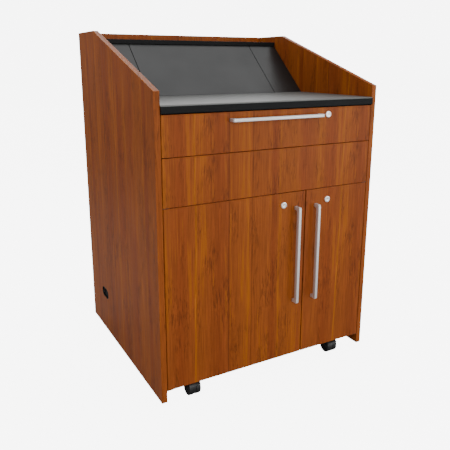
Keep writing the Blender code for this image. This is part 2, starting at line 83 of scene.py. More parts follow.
def add_node(tree: Tree, kind: str, inputs: dict | Sequence = (),
             stops: Iterable[tuple[float, str]] = (), **settings: object) -> Node:
    """Add a node with its settings, values and links.

    Args:
        tree: Node tree that gets the node.
        kind: Name of the node's type.
        inputs: Values, or output sockets to link in, by name or index or in socket order. A tuple
            of an operation's name and its terms stands for a sum worked out on the way.
        stops: Places and sRGB hex colours of a colour ramp.
        settings: Properties of the node.

    Returns:
        The new node.
    """
    node = tree.nodes.new(kind)
    for name, value in settings.items():
        setattr(node, name, value)
    for key, value in inputs.items() if isinstance(inputs, dict) else enumerate(inputs):
        if isinstance(value, tuple) and isinstance(value[0], str):
            value = add_node(tree, "ShaderNodeMath", value[1:], operation=value[0]).outputs[0]
        if isinstance(value, Socket):
            tree.links.new(value, node.inputs[key])
        else:
            node.inputs[key].default_value = value
    for i, (place, code) in enumerate(stops):
        elements = node.color_ramp.elements
        element = elements[i] if i < 2 else elements.new(place)
        element.position, element.color = place, srgb(code)
    return node


# ---------------------------------------------------------------- finishes

class Grain(Enum):
    """The way the printed wood grain runs on a board."""

    UPRIGHT = "upright"
    ALONG_X = "along_x"
    ALONG_Y = "along_y"


class Brushing(Enum):
    """The way a metal face was brushed, as the pattern's stretch on each axis."""

    ALONG_X = (0.02, 1.0, 1.0)
    ALONG_Z = (1.0, 1.0, 0.02)
    TUMBLED = (1.0, 1.0, 1.0)


@dataclass(frozen=True)
class Finish:
    """A surface finish that builds one node material."""

    name: str
    slot: str = ""

    def paint(self, tree: Tree) -> dict[str, object]:
        """Add the finish's nodes and return the shader's values and sockets by input name."""
        raise NotImplementedError


@lru_cache(maxsize=None)
def material_of(finish: Finish) -> bpy.types.Material:
    """Build a finish's material once.

    Args:
        finish: The finish.

    Returns:
        Its node material.
    """
    material = bpy.data.materials.new(finish.name)
    material.use_nodes = True
    tree = material.node_tree
    shader = tree.nodes["Principled BSDF"]
    for name, value in finish.paint(tree).items():
        if isinstance(value, Socket):
            tree.links.new(value, shader.inputs[name])
        else:
            shader.inputs[name].default_value = value
    return material


@dataclass(frozen=True)
class GrainNoise:
    """Noise stretched along the grain, by its features per metre across and along it."""

    across: float
    along: float
    detail: float = 2.0
    distortion: float = 0.0
    shift: float = 0.0

    def over(self, tree: Tree, across: Socket, along: Socket) -> Socket:
        """Lay the noise over a board.

        Args:
            tree: The material's nodes.
            across: Distance across the grain in metres.
            along: Distance along the grain in metres.

        Returns:
            The noise, from 0 to 1.
        """
        spot = add_node(tree, "ShaderNodeCombineXYZ", (
            ("MULTIPLY", across, self.across), ("MULTIPLY", along, self.along), self.shift))
        return add_node(tree, "ShaderNodeTexNoise", {
            "Vector": spot.outputs[0], "Scale": 1.0, "Detail": self.detail, "Roughness": 0.6,
            "Distortion": self.distortion}).outputs[0]


# The grain wanders slowly, under slow light and dark some 40 mm wide
WANDER = GrainNoise(5, 2.1)
SLOW = GrainNoise(24, 3.2, distortion=0.5)
# Streaks about 7 mm and 2 mm wide, and amber threads 1 to 3 mm wide
FINE = GrainNoise(140, 1.9, detail=3, shift=3)
HAIR = GrainNoise(420, 7.0, shift=5)
THREAD = GrainNoise(210, 1.3, shift=7)
# Patches of figure about 60 by 200 mm, made of dark flecks 3 mm wide and 35 mm long
PATCH = GrainNoise(17, 4.6, detail=1, distortion=0.6, shift=9)
FLECK = GrainNoise(300, 26, distortion=1.0, shift=1)
# Pores are 0.2 mm wide, drawn at 1 mm so that they show
PORE = GrainNoise(900, 44, shift=2)


@dataclass(frozen=True)
class CherryLaminate(Finish):
    """High-pressure laminate with a printed, quarter-cut cherry grain and a satin press finish.

    The print has amber streaks, dark figure and thin joints between its veneer leaves, and it
    repeats across the sheet. The satin surface is closed, so the room lays a soft grey veil on it
    at a flat angle, and the fine pressed pores only break that veil up.
    """

    slot: str = "cherry_laminate"
    grain: Grain = Grain.UPRIGHT
    across: float = 0.0
    along: float = 0.0
    repeat: float = 0.571
    bend: float = 20 * MM
    roughness: float = 0.42
    gloss: float = 0.12
    relief: float = 0.05 * MM
    amber: str = "A95F10"

    # Tone across one repeat of the print, from the joint between two veneer leaves
    TONES = (
        (0.000, "874317"), (0.117, "8C4818"), (0.124, "9C5616"), (0.131, "8B4618"),
        (0.255, "8B4719"), (0.300, "813D17"), (0.331, "8A4618"), (0.338, "9A5414"),
        (0.346, "8C4819"), (0.450, "8F4A18"), (0.500, "86411A"), (0.615, "8B4719"),
        (0.700, "833E17"), (0.785, "8B4619"), (0.792, "A55D12"), (0.799, "8E4918"),
        (0.935, "803D16"), (1.000, "86421A"),
    )
    # Where two leaves meet, the print has a dark line about 1.5 mm wide
    JOINTS = (
        (0.000, "A6A6A6"), (0.003, "FFFFFF"), (0.150, "FFFFFF"), (0.1525, "B8B8B8"),
        (0.155, "FFFFFF"), (0.997, "FFFFFF"), (1.000, "A6A6A6"),
    )

    def coordinates(self, tree: Tree) -> tuple[Socket, ...]:
        """Work out the place across and along the grain.

        Args:
            tree: The material's nodes.

        Returns:
            Sockets with the distance across and along the grain, in metres.
        """
        place = add_node(tree, "ShaderNodeTexCoord").outputs
        x, y, z = add_node(tree, "ShaderNodeSeparateXYZ", (place["Object"],)).outputs
        if self.grain is Grain.ALONG_X:
            across, along = ("ADD", y, z), x
        elif self.grain is Grain.ALONG_Y:
            across, along = ("ADD", x, z), y
        else:
            # A banded edge that faces up has its grain along the edge
            facing = add_node(tree, "ShaderNodeSeparateXYZ", (place["Normal"],)).outputs["Z"]
            up = add_node(tree, "ShaderNodeMath", (("ABSOLUTE", facing), 0.2),
                          operation="GREATER_THAN").outputs[0]
            across = ("ADD", x, ("MULTIPLY", y, ("SUBTRACT", 1.0, up)))
            along = add_node(tree, "ShaderNodeMix", {"Factor": up, "A": z, "B": y},
                             data_type="FLOAT").outputs[0]
        return tuple(add_node(tree, "ShaderNodeMath", terms, operation="ADD").outputs[0]
                     for terms in ((across, self.across), (along, self.along)))

    def paint(self, tree: Tree) -> dict[str, object]:
        """Add the print with its joints, streaks, figure and pores.

        Args:
            tree: The material's nodes.

        Returns:
            The shader's values and sockets by input name.
        """
        sheet, along = self.coordinates(tree)
        turn = add_node(tree, "ShaderNodeMath", (("DIVIDE", sheet, self.repeat),),
                        operation="FRACT").outputs[0]
        across = add_node(tree, "ShaderNodeMath", (turn, self.repeat),
                          operation="MULTIPLY").outputs[0]
        sway = ("SUBTRACT", WANDER.over(tree, across, along), 0.5)
        bent = add_node(tree, "ShaderNodeMath", (across, ("MULTIPLY", sway, self.bend)),
                        operation="ADD").outputs[0]
        fine, hair, slow, thread, fleck = (
            noise.over(tree, bent, along) for noise in (FINE, HAIR, SLOW, THREAD, FLECK))
        patch, pore = (noise.over(tree, across, along) for noise in (PATCH, PORE))
        # Each noise as the share of light it leaves, or as the strength of what it adds
        broad, streak, line, amber, figure, dark, pores, roughness = (
            add_node(tree, "ShaderNodeMapRange", span).outputs[0] for span in (
                (slow, 0.3, 0.7, 0.95, 1.05), (fine, 0.3, 0.7, 0.91, 1.09),
                (hair, 0.32, 0.68, 0.75, 1.22), (("MULTIPLY", thread, slow), 0.30, 0.37, 0.0, 0.40),
                (patch, 0.50, 0.60, 0.12, 1.0), (fleck, 0.47, 0.64, 0.0, 0.48),
                (pore, 0.58, 0.72, 1.0, 0.80),
                (fine, 0.25, 0.75, self.roughness - 0.04, self.roughness + 0.07)))

        tones = add_node(tree, "ShaderNodeValToRGB", (("DIVIDE", bent, self.repeat),), self.TONES)
        joints = add_node(tree, "ShaderNodeValToRGB", (turn,), self.JOINTS)
        light = add_node(tree, "ShaderNodeMath", (broad, ("MULTIPLY", streak, line)),
                         operation="MULTIPLY").outputs[0]
        lit = add_node(tree, "ShaderNodeVectorMath", {0: tones.outputs[0], 3: light},
                       operation="SCALE")
        warm = add_node(tree, "ShaderNodeMix", {
            "Factor": amber, "A": lit.outputs[0], "B": srgb(self.amber)}, data_type="RGBA")
        shade = ("MULTIPLY", ("SUBTRACT", 1.0, ("MULTIPLY", figure, dark)), pores)
        wood = add_node(tree, "ShaderNodeVectorMath", {0: warm.outputs["Result"], 3: shade},
                        operation="SCALE")
        joined = add_node(tree, "ShaderNodeVectorMath", (wood.outputs[0], joints.outputs[0]),
                          operation="MULTIPLY")
        bump = add_node(tree, "ShaderNodeBump", {
            "Height": ("MULTIPLY", pores, light), "Distance": self.relief, "Strength": 1.0})
        return {"Base Color": joined.outputs[0], "Roughness": roughness, "IOR": 1.5,
                "Specular IOR Level": self.gloss, "Normal": bump.outputs[0]}


@dataclass(frozen=True)
class BlackLaminate(Finish):
    """Charcoal laminate with a fine pearl texture on its faces and near-black edge band.

    The faces pick up a broad grey sheen from the room. Upward faces get the lighter face tone and
    the rest the near-black edge tone: painted top light, and on banded boards also the real black
    edge band.
    """

    slot: str = "black_laminate"
    # face is the tone of upward faces and edge the tone of all others; the step between them is
    # painted top light, and on banded boards also the real edge band
    face: str = "4A4B4C"
    edge: str = "121314"
    roughness: float = 0.42
    gloss: float = 0.5
    relief: float = 0.02 * MM

    def paint(self, tree: Tree) -> dict[str, object]:
        """Add the face tone, the band tone and the pearl texture.

        Args:
            tree: The material's nodes.

        Returns:
            The shader's values and sockets by input name.
        """
        place = add_node(tree, "ShaderNodeTexCoord").outputs
        facing = add_node(tree, "ShaderNodeSeparateXYZ", (place["Normal"],)).outputs["Z"]
        # Pearls about 0.7 mm apart, drawn at 3 mm so that they show
        pearl = add_node(tree, "ShaderNodeTexVoronoi", {
            "Vector": place["Object"], "Scale": 1 / (3 * MM)}).outputs["Distance"]
        cloud = add_node(tree, "ShaderNodeTexNoise", {
            "Vector": place["Object"], "Scale": 9.0, "Detail": 3.0}).outputs[0]
        up, speck, drift, roughness = (
            add_node(tree, "ShaderNodeMapRange", span).outputs[0] for span in (
                (facing, 0.25, 0.62, 0.0, 1.0), (pearl, 0.0, 0.8, 1.12, 0.88),
                (cloud, 0.3, 0.7, 0.94, 1.06),
                (cloud, 0.3, 0.7, self.roughness - 0.04, self.roughness + 0.04)))
        # Painted top light: upward faces get the face tone, fading to the edge tone as they turn to
        # the side and down; on banded boards the dark tone is also the real edge band
        tone = add_node(tree, "ShaderNodeMix", {
            "Factor": up, "A": srgb(self.edge), "B": srgb(self.face)}, data_type="RGBA")
        colour = add_node(tree, "ShaderNodeVectorMath", {
            0: tone.outputs["Result"], 3: ("MULTIPLY", speck, drift)}, operation="SCALE")
        bump = add_node(tree, "ShaderNodeBump", {
            "Height": pearl, "Distance": self.relief, "Strength": 1.0})
        return {"Base Color": colour.outputs[0], "Roughness": roughness,
                "Specular IOR Level": self.gloss, "Normal": bump.outputs[0]}


@dataclass(frozen=True)
class BrushedMetal(Finish):
    """Plated steel or zinc casting, brushed one way or tumbled, so that highlights smear."""

    slot: str = "satin_nickel"
    colour: str = "D6D6D8"
    roughness: float = 0.26
    brushing: Brushing = Brushing.TUMBLED
    metallic: float = 1.0
    relief: float = 0.012 * MM

    def paint(self, tree: Tree) -> dict[str, object]:
        """Add the plating's tone and its brush lines.

        Args:
            tree: The material's nodes.

        Returns:
            The shader's values and sockets by input name.
        """
        place = add_node(tree, "ShaderNodeTexCoord").outputs
        stretch = add_node(tree, "ShaderNodeVectorMath", (place["Object"], self.brushing.value),
                           operation="MULTIPLY")
        # Brush lines 0.15 mm apart, drawn at 0.5 mm so that they show
        lines = add_node(tree, "ShaderNodeTexNoise", {
            "Vector": stretch.outputs[0], "Scale": 1 / (0.5 * MM), "Detail": 3.0,
            "Roughness": 0.65}).outputs[0]
        tone, roughness = (add_node(tree, "ShaderNodeMapRange", span).outputs[0] for span in (
            (lines, 0.3, 0.7, 0.88, 1.04),
            (lines, 0.3, 0.7, self.roughness - 0.05, self.roughness + 0.09)))
        colour = add_node(tree, "ShaderNodeVectorMath", {0: srgb(self.colour)[:3], 3: tone},
                          operation="SCALE")
        bump = add_node(tree, "ShaderNodeBump", {
            "Height": lines, "Distance": self.relief, "Strength": 1.0})
        return {"Base Color": colour.outputs[0], "Roughness": roughness,
                "Metallic": self.metallic, "Normal": bump.outputs[0]}


@dataclass(frozen=True)
class Moulded(Finish):
    """Coated or moulded surface with a fine grain: powder coat, nylon, rubber or urethane."""

    slot: str = "black_nylon"
    colour: str = "1B1C1E"
    roughness: float = 0.5
    grit: float = 0.8 * MM
    relief: float = 0.05 * MM
    scuff: str = "3A3A3A"
    scuffing: float = 0.25

    def paint(self, tree: Tree) -> dict[str, object]:
        """Add the grain, and light scuffs where the surface rubs.

        Args:
            tree: The material's nodes.

        Returns:
            The shader's values and sockets by input name.
        """
        place = add_node(tree, "ShaderNodeTexCoord").outputs
        grain = add_node(tree, "ShaderNodeTexNoise", {
            "Vector": place["Object"], "Scale": 1 / self.grit, "Detail": 2.0})
        patches = add_node(tree, "ShaderNodeTexNoise", {
            "Vector": place["Object"], "Scale": 60.0, "Detail": 4.0, "Roughness": 0.7}).outputs[0]
        worn, roughness = (add_node(tree, "ShaderNodeMapRange", span).outputs[0] for span in (
            (patches, 0.52, 0.78, 0.0, self.scuffing),
            (patches, 0.3, 0.7, self.roughness - 0.05, self.roughness + 0.1)))
        colour = add_node(tree, "ShaderNodeMix", {
            "Factor": worn, "A": srgb(self.colour), "B": srgb(self.scuff)}, data_type="RGBA")
        bump = add_node(tree, "ShaderNodeBump", {
            "Height": grain.outputs[0], "Distance": self.relief, "Strength": 1.0})
        return {"Base Color": colour.outputs["Result"], "Roughness": roughness,
                "Normal": bump.outputs[0]}


# Cherry laminate sheets; the fronts are cut so that the print runs on from one to the next
SIDE_LAMINATE = CherryLaminate("cherry_laminate_sides", across=0.30, along=0.13)
BACK_LAMINATE = CherryLaminate("cherry_laminate_back", across=0.21, along=0.37)
FASCIA_LAMINATE = CherryLaminate("cherry_laminate_fascia", across=0.5345, along=0.31)
DRAWER_LAMINATE = CherryLaminate("cherry_laminate_drawer", across=0.5345, along=0.16)
DOOR_LAMINATE = CherryLaminate("cherry_laminate_doors", across=0.5345, along=0.60)
SHELF_LAMINATE = CherryLaminate("cherry_laminate_shelves", grain=Grain.ALONG_X, across=0.1)
BAND_LAMINATE = CherryLaminate("cherry_laminate_cleats", grain=Grain.ALONG_Y, across=0.3)
# Console panels are smoother than the worktop, so the side walls darken them near both ends
CONSOLE_LAMINATE = BlackLaminate("black_satin_laminate", face="151616", roughness=0.34,
                                 gloss=0.40, relief=0.006 * MM)
# The nosing, ledge, base and gussets are one black vinyl: their lighter upward faces are painted
# top light
NOSE_VINYL = BlackLaminate("black_vinyl_nosing", face="2A2B2C", edge="101112", roughness=0.5,
                           gloss=0.12)
# The worktop's rolled front fades towards the near-black tone as it turns down: painted shade
WORKTOP_LAMINATE = BlackLaminate("charcoal_pearl_laminate", face="585957", roughness=0.45)
# Satin nickel under clear lacquer: soft white highlights along the brushing, and pale sides
NICKEL_LEVEL = BrushedMetal("satin_nickel_brushed_level", colour="E2E0DF", roughness=0.42,
                            brushing=Brushing.ALONG_X, metallic=0.6)
NICKEL_UPRIGHT = BrushedMetal("satin_nickel_brushed_upright", colour="E2E0DF", roughness=0.42,
                              brushing=Brushing.ALONG_Z, metallic=0.6)
# Tumbled casting under thin lacquer: a broad soft highlight with no direction
NICKEL_TURNED = BrushedMetal("nickel_plated_zinc_casting", colour="F4F4F4", roughness=0.30,
                             metallic=0.85)
# Bright zinc: slightly blue and cloudy
ZINC = BrushedMetal("zinc_plated_steel", "zinc_steel", colour="B9BDC2", roughness=0.32)
# Black powder coat: fine orange peel and a low sheen
POWDER_COAT = Moulded("black_powder_coated_steel", "black_steel", colour="191A1C",
                      roughness=0.42, grit=1.6 * MM)
# Moulded nylon: near black with a low sheen and faint scuffs
NYLON = Moulded("black_moulded_nylon", colour="101113", roughness=0.38, scuff="2A2A2A",
                scuffing=0.2)
# Cast urethane tread and moulded rubber: black and dull
TREAD = Moulded("black_urethane_tread", "black_tread", colour="0D0E0F", scuff="2A2A29",
                scuffing=0.3)
RUBBER = Moulded("black_rubber", colour="111112", roughness=0.7, scuffing=0.1)
# Soft clear urethane: pale grey and slightly glossy
CLEAR_URETHANE = Moulded("clear_grey_bumper_urethane", "zinc_steel", colour="9A9A94",
                         roughness=0.3, scuffing=0.05)


# ---------------------------------------------------------------- mesh helpers

def arc(centre: Point, radius: float, start: float, end: float, steps: int) -> Outline:
    """List points along a circular arc.

    Args:
        centre: Centre of the arc.
        radius: Its radius.
        start: First angle in degrees.
        end: Last angle in degrees.
        steps: Number of chords.

    Returns:
        The points, both ends included.
    """
    angles = [math.radians(start + (end - start) * i / steps) for i in range(steps + 1)]
    return [(centre[0] + radius * math.cos(a), centre[1] + radius * math.sin(a)) for a in angles]


def rounded_rectangle(centre: Point, size: Point, radius: float, steps: int = 6) -> Outline:
    """Outline a rectangle with round corners.

    Args:
        centre: Its centre.
        size: Its two sides.
        radius: Radius of its corners.
        steps: Number of chords to each corner.

    Returns:
        The points, counter-clockwise.
    """
    half_a, half_b = size[0] / 2 - radius, size[1] / 2 - radius
    points: Outline = []
    for side_a, side_b, start in ((1, 1, 0), (-1, 1, 90), (-1, -1, 180), (1, -1, 270)):
        corner = (centre[0] + side_a * half_a, centre[1] + side_b * half_b)
        points += arc(corner, radius, start, start + 90, steps)
    return points


def spread(low: float, high: float, shares: Iterable[float]) -> list[float]:
    """Place shares of the way from one value to another."""
    return [low + share * (high - low) for share in shares]


def skin(bm: BMesh, loops: Sequence[Sequence[bmesh.types.BMVert]], closed: bool) -> list:
    """Join loops of points with faces, where a loop of one point is a pole.

    Args:
        bm: Mesh that holds the points.
        loops: Loops with as many points each, poles aside.
        closed: Whether the last loop joins the first.

    Returns:
        The new faces.
    """
    faces = []
    for first, second in zip(loops, [*loops[1:], loops[0]] if closed else loops[1:]):
        count = max(len(first), len(second))
        for i in range(count):
            j = (i + 1) % count
            if len(first) == 1:
                corners = (first[0], second[i], second[j])
            elif len(second) == 1:
                corners = (first[j], first[i], second[0])
            else:
                corners = (first[i], second[i], second[j], first[j])
            faces.append(bm.faces.new(corners))
    return faces


def extrude(bm: BMesh, axis: str, outline: Outline, low: float, high: float) -> None:
    """Add a closed prism to a mesh.

    Args:
        bm: Mesh that gets the prism.
        axis: Axis that it runs along; the outline lies on the other two, in their order.
        outline: The closed outline.
        low: Start along the axis.
        high: End along the axis.
    """
    at = {"X": lambda a, b, t: (t, a, b), "Y": lambda a, b, t: (a, t, b),
          "Z": lambda a, b, t: (a, b, t)}[axis]
    ends = [[bm.verts.new(at(*pair, along)) for pair in outline] for along in (low, high)]
    faces = [bm.faces.new(ends[0]), bm.faces.new(list(reversed(ends[1])))]
    bmesh.ops.recalc_face_normals(bm, faces=faces + skin(bm, ends, closed=False))


def block(bm: BMesh, low: Point, high: Point) -> None:
    """Add a rectangular block between two corners."""
    outline = [(low[0], low[2]), (high[0], low[2]), (high[0], high[2]), (low[0], high[2])]
    extrude(bm, "Y", outline, low[1], high[1])


def lathe(bm: BMesh, place: Matrix, profile: Outline, segments: int = 48) -> None:
    """Turn a profile about the X axis of a frame.

    Args:
        bm: Mesh that gets the turned shape.
        place: Frame of the turning axis.
        profile: Pairs of distance along the axis and radius. One that doesn't start on the axis
            is closed into a ring.
        segments: Number of steps round the axis.
    """
    rings = []
    for along, radius in profile:
        steps = 1 if radius == 0 else segments
        turns = [2 * math.pi * i / steps for i in range(steps)]
        rings.append([bm.verts.new(place @ Vector((along, radius * math.sin(t),
                                                   -radius * math.cos(t)))) for t in turns])
    faces = skin(bm, rings, closed=profile[0][1] > 0)
    bmesh.ops.recalc_face_normals(bm, faces=faces)


def axis_frame(start: Point, towards: Point) -> Matrix:
    """Make a frame at a point with its X axis along a direction."""
    turn = Vector(towards).to_track_quat("X", "Z").to_matrix().to_4x4()
    return Matrix.Translation(Vector(start)) @ turn


def ease(bm: BMesh, radius: float, segments: int = 2, sharper_than: float = 60.0) -> None:
    """Round the sharp edges of a mesh.

    Args:
        bm: The mesh.
        radius: Radius of the rounding in metres.
        segments: Facets across the rounding.
        sharper_than: Only edges that turn by more than this, in degrees.
    """
    limit = math.radians(sharper_than)
    edges = [e for e in bm.edges if len(e.link_faces) == 2 and e.calc_face_angle(0.0) > limit]
    bmesh.ops.bevel(bm, geom=edges, offset=radius, offset_type="OFFSET", segments=segments,
                    profile=0.5, affect="EDGES", clamp_overlap=True)


def from_cad(node: str) -> BMesh:
    """Copy a CAD node's solid.

    Args:
        node: Name of the node.

    Returns:
        A clean mesh with whole faces.
    """
    bm = bmesh.new()
    bm.from_mesh(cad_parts[node].data)
    bmesh.ops.remove_doubles(bm, verts=bm.verts, dist=0.002 * MM)
    bmesh.ops.dissolve_limit(bm, angle_limit=math.radians(0.5), verts=bm.verts, edges=bm.edges)
    return bm


def mesh_of(name: str, bm: BMesh, smooth: float | None = None) -> Mesh:
    """Turn a mesh being built into a plain mesh.

    Args:
        name: Name of the mesh.
        bm: The mesh being built, freed here.
        smooth: Edges flatter than this many degrees are shaded smooth, or None for flat faces.

    Returns:
        The plain mesh.
    """
    mesh = bpy.data.meshes.new(name)
    bm.to_mesh(mesh)
    bm.free()
    if smooth is not None:
        soften(mesh, smooth)
    return mesh


def soften(mesh: Mesh, smooth: float) -> None:
    """Shade smooth, with edges sharper than an angle in degrees kept."""
    mesh.shade_smooth()
    mesh.set_sharp_from_angle(angle=math.radians(smooth))


def linked(name: str, mesh: Mesh) -> bpy.types.Object:
    """Put a mesh into the scene.

    Args:
        name: Name of its object.
        mesh: The mesh.

    Returns:
        The object.
    """
    thing = bpy.data.objects.new(name, mesh)
    bpy.context.scene.collection.objects.link(thing)
    return thing


def piece(name: str, shape: BMesh | Mesh, finish: Finish, body: str = "cabinet",
          replaces: Sequence[str] = (), smooth: float | None = None) -> None:
    """Turn a mesh into a finished piece on its body.

    Args:
        name: Name of the piece.
        shape: Its mesh, in place.
        finish: Its finish.
        body: CAD body that it rides on.
        replaces: CAD nodes that it stands for.
        smooth: Edges flatter than this many degrees are shaded smooth, or None for flat faces.
    """
    mesh = shape if isinstance(shape, Mesh) else mesh_of(name, shape)
    if smooth is not None:
        soften(mesh, smooth)
    mesh.materials.clear()
    mesh.materials.append(material_of(finish))
    thing = linked(name, mesh)
    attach(thing, body)
    if replaces:
        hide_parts(*replaces)
    LOG.info("%s: %d faces on %s", name, len(mesh.polygons), body)


def eased_piece(name: str, node: str, finish: Finish, easing: float, body: str = "cabinet",
                smooth: float | None = None, sharper_than: float = 60.0) -> None:
    """Copy a CAD node's solid as a finished piece with rounded edges.

    Args:
        name: Name of the piece.
        node: The CAD node that it stands for.
        finish: Its finish.
        easing: Radius of its edges.
        body: CAD body that it rides on.
        smooth: Edges flatter than this many degrees are shaded smooth, or None for flat faces.
        sharper_than: Only edges that turn by more than this many degrees are rounded.
    """
    bm = from_cad(node)
    ease(bm, easing, sharper_than=sharper_than)
    piece(name, bm, finish, body, [node], smooth)


# ---------------------------------------------------------------- Geometry Nodes helpers

def plain_mesh(thing: bpy.types.Object) -> Mesh:
    """Take the result of an object's modifiers and remove the object.

    Args:
        thing: The object.

    Returns:
        The result as a plain mesh.
    """
    bpy.context.view_layer.update()
    evaluated = thing.evaluated_get(bpy.context.evaluated_depsgraph_get())
    mesh = bpy.data.meshes.new_from_object(evaluated)
    thing.modifiers.clear()
    bpy.data.objects.remove(thing, do_unlink=True)
    return mesh


def bored(mesh: Mesh, tool: BMesh, operation: str = "DIFFERENCE") -> Mesh:
    """Cut a tool out of a mesh, or join it on.

    Args:
        mesh: Mesh to change.
        tool: Closed tool mesh, freed here.
        operation: Boolean operation.

    Returns:
        A new mesh.
    """
    base, cutter = linked("base", mesh), linked("cutter", mesh_of("cutter", tool))
    modifier = base.modifiers.new("cut", "BOOLEAN")
    modifier.operation = operation
    modifier.solver = "EXACT"
    modifier.use_self = True
    modifier.object = cutter
    result = plain_mesh(base)
    bpy.data.objects.remove(cutter, do_unlink=True)
    return result


def run_tree(tree: Tree, name: str, mesh: Mesh, values: dict[str, object]) -> Mesh:
    """Run a Geometry Nodes tree on a mesh.

    Args:
        tree: The tree, whose first input is the geometry.
        name: Name for the temporary object.
        mesh: Mesh that goes in.
        values: Input names and values.

    Returns:
        The resulting plain mesh.
    """
    carrier = linked(name, mesh)
    modifier = carrier.modifiers.new(name, "NODES")
    modifier.node_group = tree
    for socket in tree.interface.items_tree:
        if socket.in_out == "INPUT" and socket.name in values:
            modifier[socket.identifier] = values[socket.name]
    return plain_mesh(carrier)


def tree_with_inputs(name: str, inputs: dict[str, str]) -> tuple[Tree, Node, Node]:
    """Start a Geometry Nodes tree.

    Args:
        name: Name of the tree.
        inputs: Names and socket types of its inputs after the geometry.

    Returns:
        The tree, its group input and its group output.
    """
    tree = bpy.data.node_groups.new(name, "GeometryNodeTree")
    for way in ("INPUT", "OUTPUT"):
        tree.interface.new_socket("Geometry", in_out=way, socket_type="NodeSocketGeometry")
    for title, kind in inputs.items():
        tree.interface.new_socket(title, in_out="INPUT", socket_type=kind)
    return tree, tree.nodes.new("NodeGroupInput"), tree.nodes.new("NodeGroupOutput")


def dress(tree: Tree, geometry: Socket, start: Node, end: Node) -> None:
    """Make a tree's instances real, set their material and end the tree.

    Args:
        tree: The tree, with an input named Finish.
        geometry: What the tree has made.
        start: Its group input.
        end: Its group output.
    """
    solid = add_node(tree, "GeometryNodeRealizeInstances", (geometry,))
    dressed = add_node(tree, "GeometryNodeSetMaterial", {
        "Geometry": solid.outputs[0], "Material": start.outputs["Finish"]})
    tree.links.new(dressed.outputs[0], end.inputs[0])


@lru_cache(maxsize=None)
def scatter_tree() -> Tree:
    """Build the tree that sets a template on points, each turned to its own direction.

    Returns:
        The tree, with inputs Template, Seed and Finish.
    """
    tree, start, end = tree_with_inputs("fastener_row", {
        "Template": "NodeSocketObject", "Seed": "NodeSocketInt", "Finish": "NodeSocketMaterial"})
    facing = add_node(tree, "GeometryNodeInputNamedAttribute", {"Name": "facing"},
                      data_type="FLOAT_VECTOR")
    turn = add_node(tree, "FunctionNodeAlignRotationToVector", {"Vector": facing.outputs[0]},
                    axis="Z")
    spin = add_node(tree, "FunctionNodeRandomValue", {
        "Min": (0.0, 0.0, 0.0), "Max": (0.0, 0.0, 2 * math.pi), "Seed": start.outputs["Seed"]},
        data_type="FLOAT_VECTOR")
    loose = add_node(tree, "FunctionNodeEulerToRotation", (spin.outputs[0],))
    both = add_node(tree, "FunctionNodeRotateRotation", (turn.outputs[0], loose.outputs[0]),
                    rotation_space="LOCAL")
    template = add_node(tree, "GeometryNodeObjectInfo", (start.outputs["Template"],))
    dots = add_node(tree, "GeometryNodeMeshToPoints", {"Mesh": start.outputs[0], "Radius": MM})
    many = add_node(tree, "GeometryNodeInstanceOnPoints", {
        "Points": dots.outputs[0], "Instance": template.outputs["Geometry"],
        "Rotation": both.outputs[0]})
    dress(tree, many.outputs[0], start, end)
    return tree


@lru_cache(maxsize=None)
def hole_column_tree() -> Tree:
    """Build the tree that bores a column of round holes through a rail.

    Returns:
        The tree, with inputs First, Pitch, Count, Radius, Length and Finish.
    """
    tree, start, end = tree_with_inputs("rack_hole_column", {
        "First": "NodeSocketVector", "Pitch": "NodeSocketVector", "Count": "NodeSocketInt",
        "Radius": "NodeSocketFloat", "Length": "NodeSocketFloat", "Finish": "NodeSocketMaterial"})
    line = add_node(tree, "GeometryNodeMeshLine", {
        "Count": start.outputs["Count"], "Start Location": start.outputs["First"],
        "Offset": start.outputs["Pitch"]})
    drill = add_node(tree, "GeometryNodeMeshCylinder", {
        "Vertices": 20, "Radius": start.outputs["Radius"], "Depth": start.outputs["Length"]})
    many = add_node(tree, "GeometryNodeInstanceOnPoints", {
        "Points": line.outputs[0], "Instance": drill.outputs[0],
        "Rotation": (math.pi / 2, 0.0, 0.0)})
    solid = add_node(tree, "GeometryNodeRealizeInstances", (many.outputs[0],))
    holed = add_node(tree, "GeometryNodeMeshBoolean", {
        "Mesh 1": start.outputs[0], "Mesh 2": solid.outputs[0]},
        operation="DIFFERENCE", solver="EXACT")
    dress(tree, holed.outputs[0], start, end)
    return tree


# ---------------------------------------------------------------- small repeated pieces

class FastenerKind(Enum):
    """Small repeated pieces, each modelled once with its seat at the origin, facing +Z."""

    WOOD_SCREW = "wood_screw"
    MACHINE_SCREW = "machine_screw"
    BUMPER = "bumper"
    SHELF_SLEEVE = "shelf_sleeve"
    SHELF_PIN = "shelf_pin"


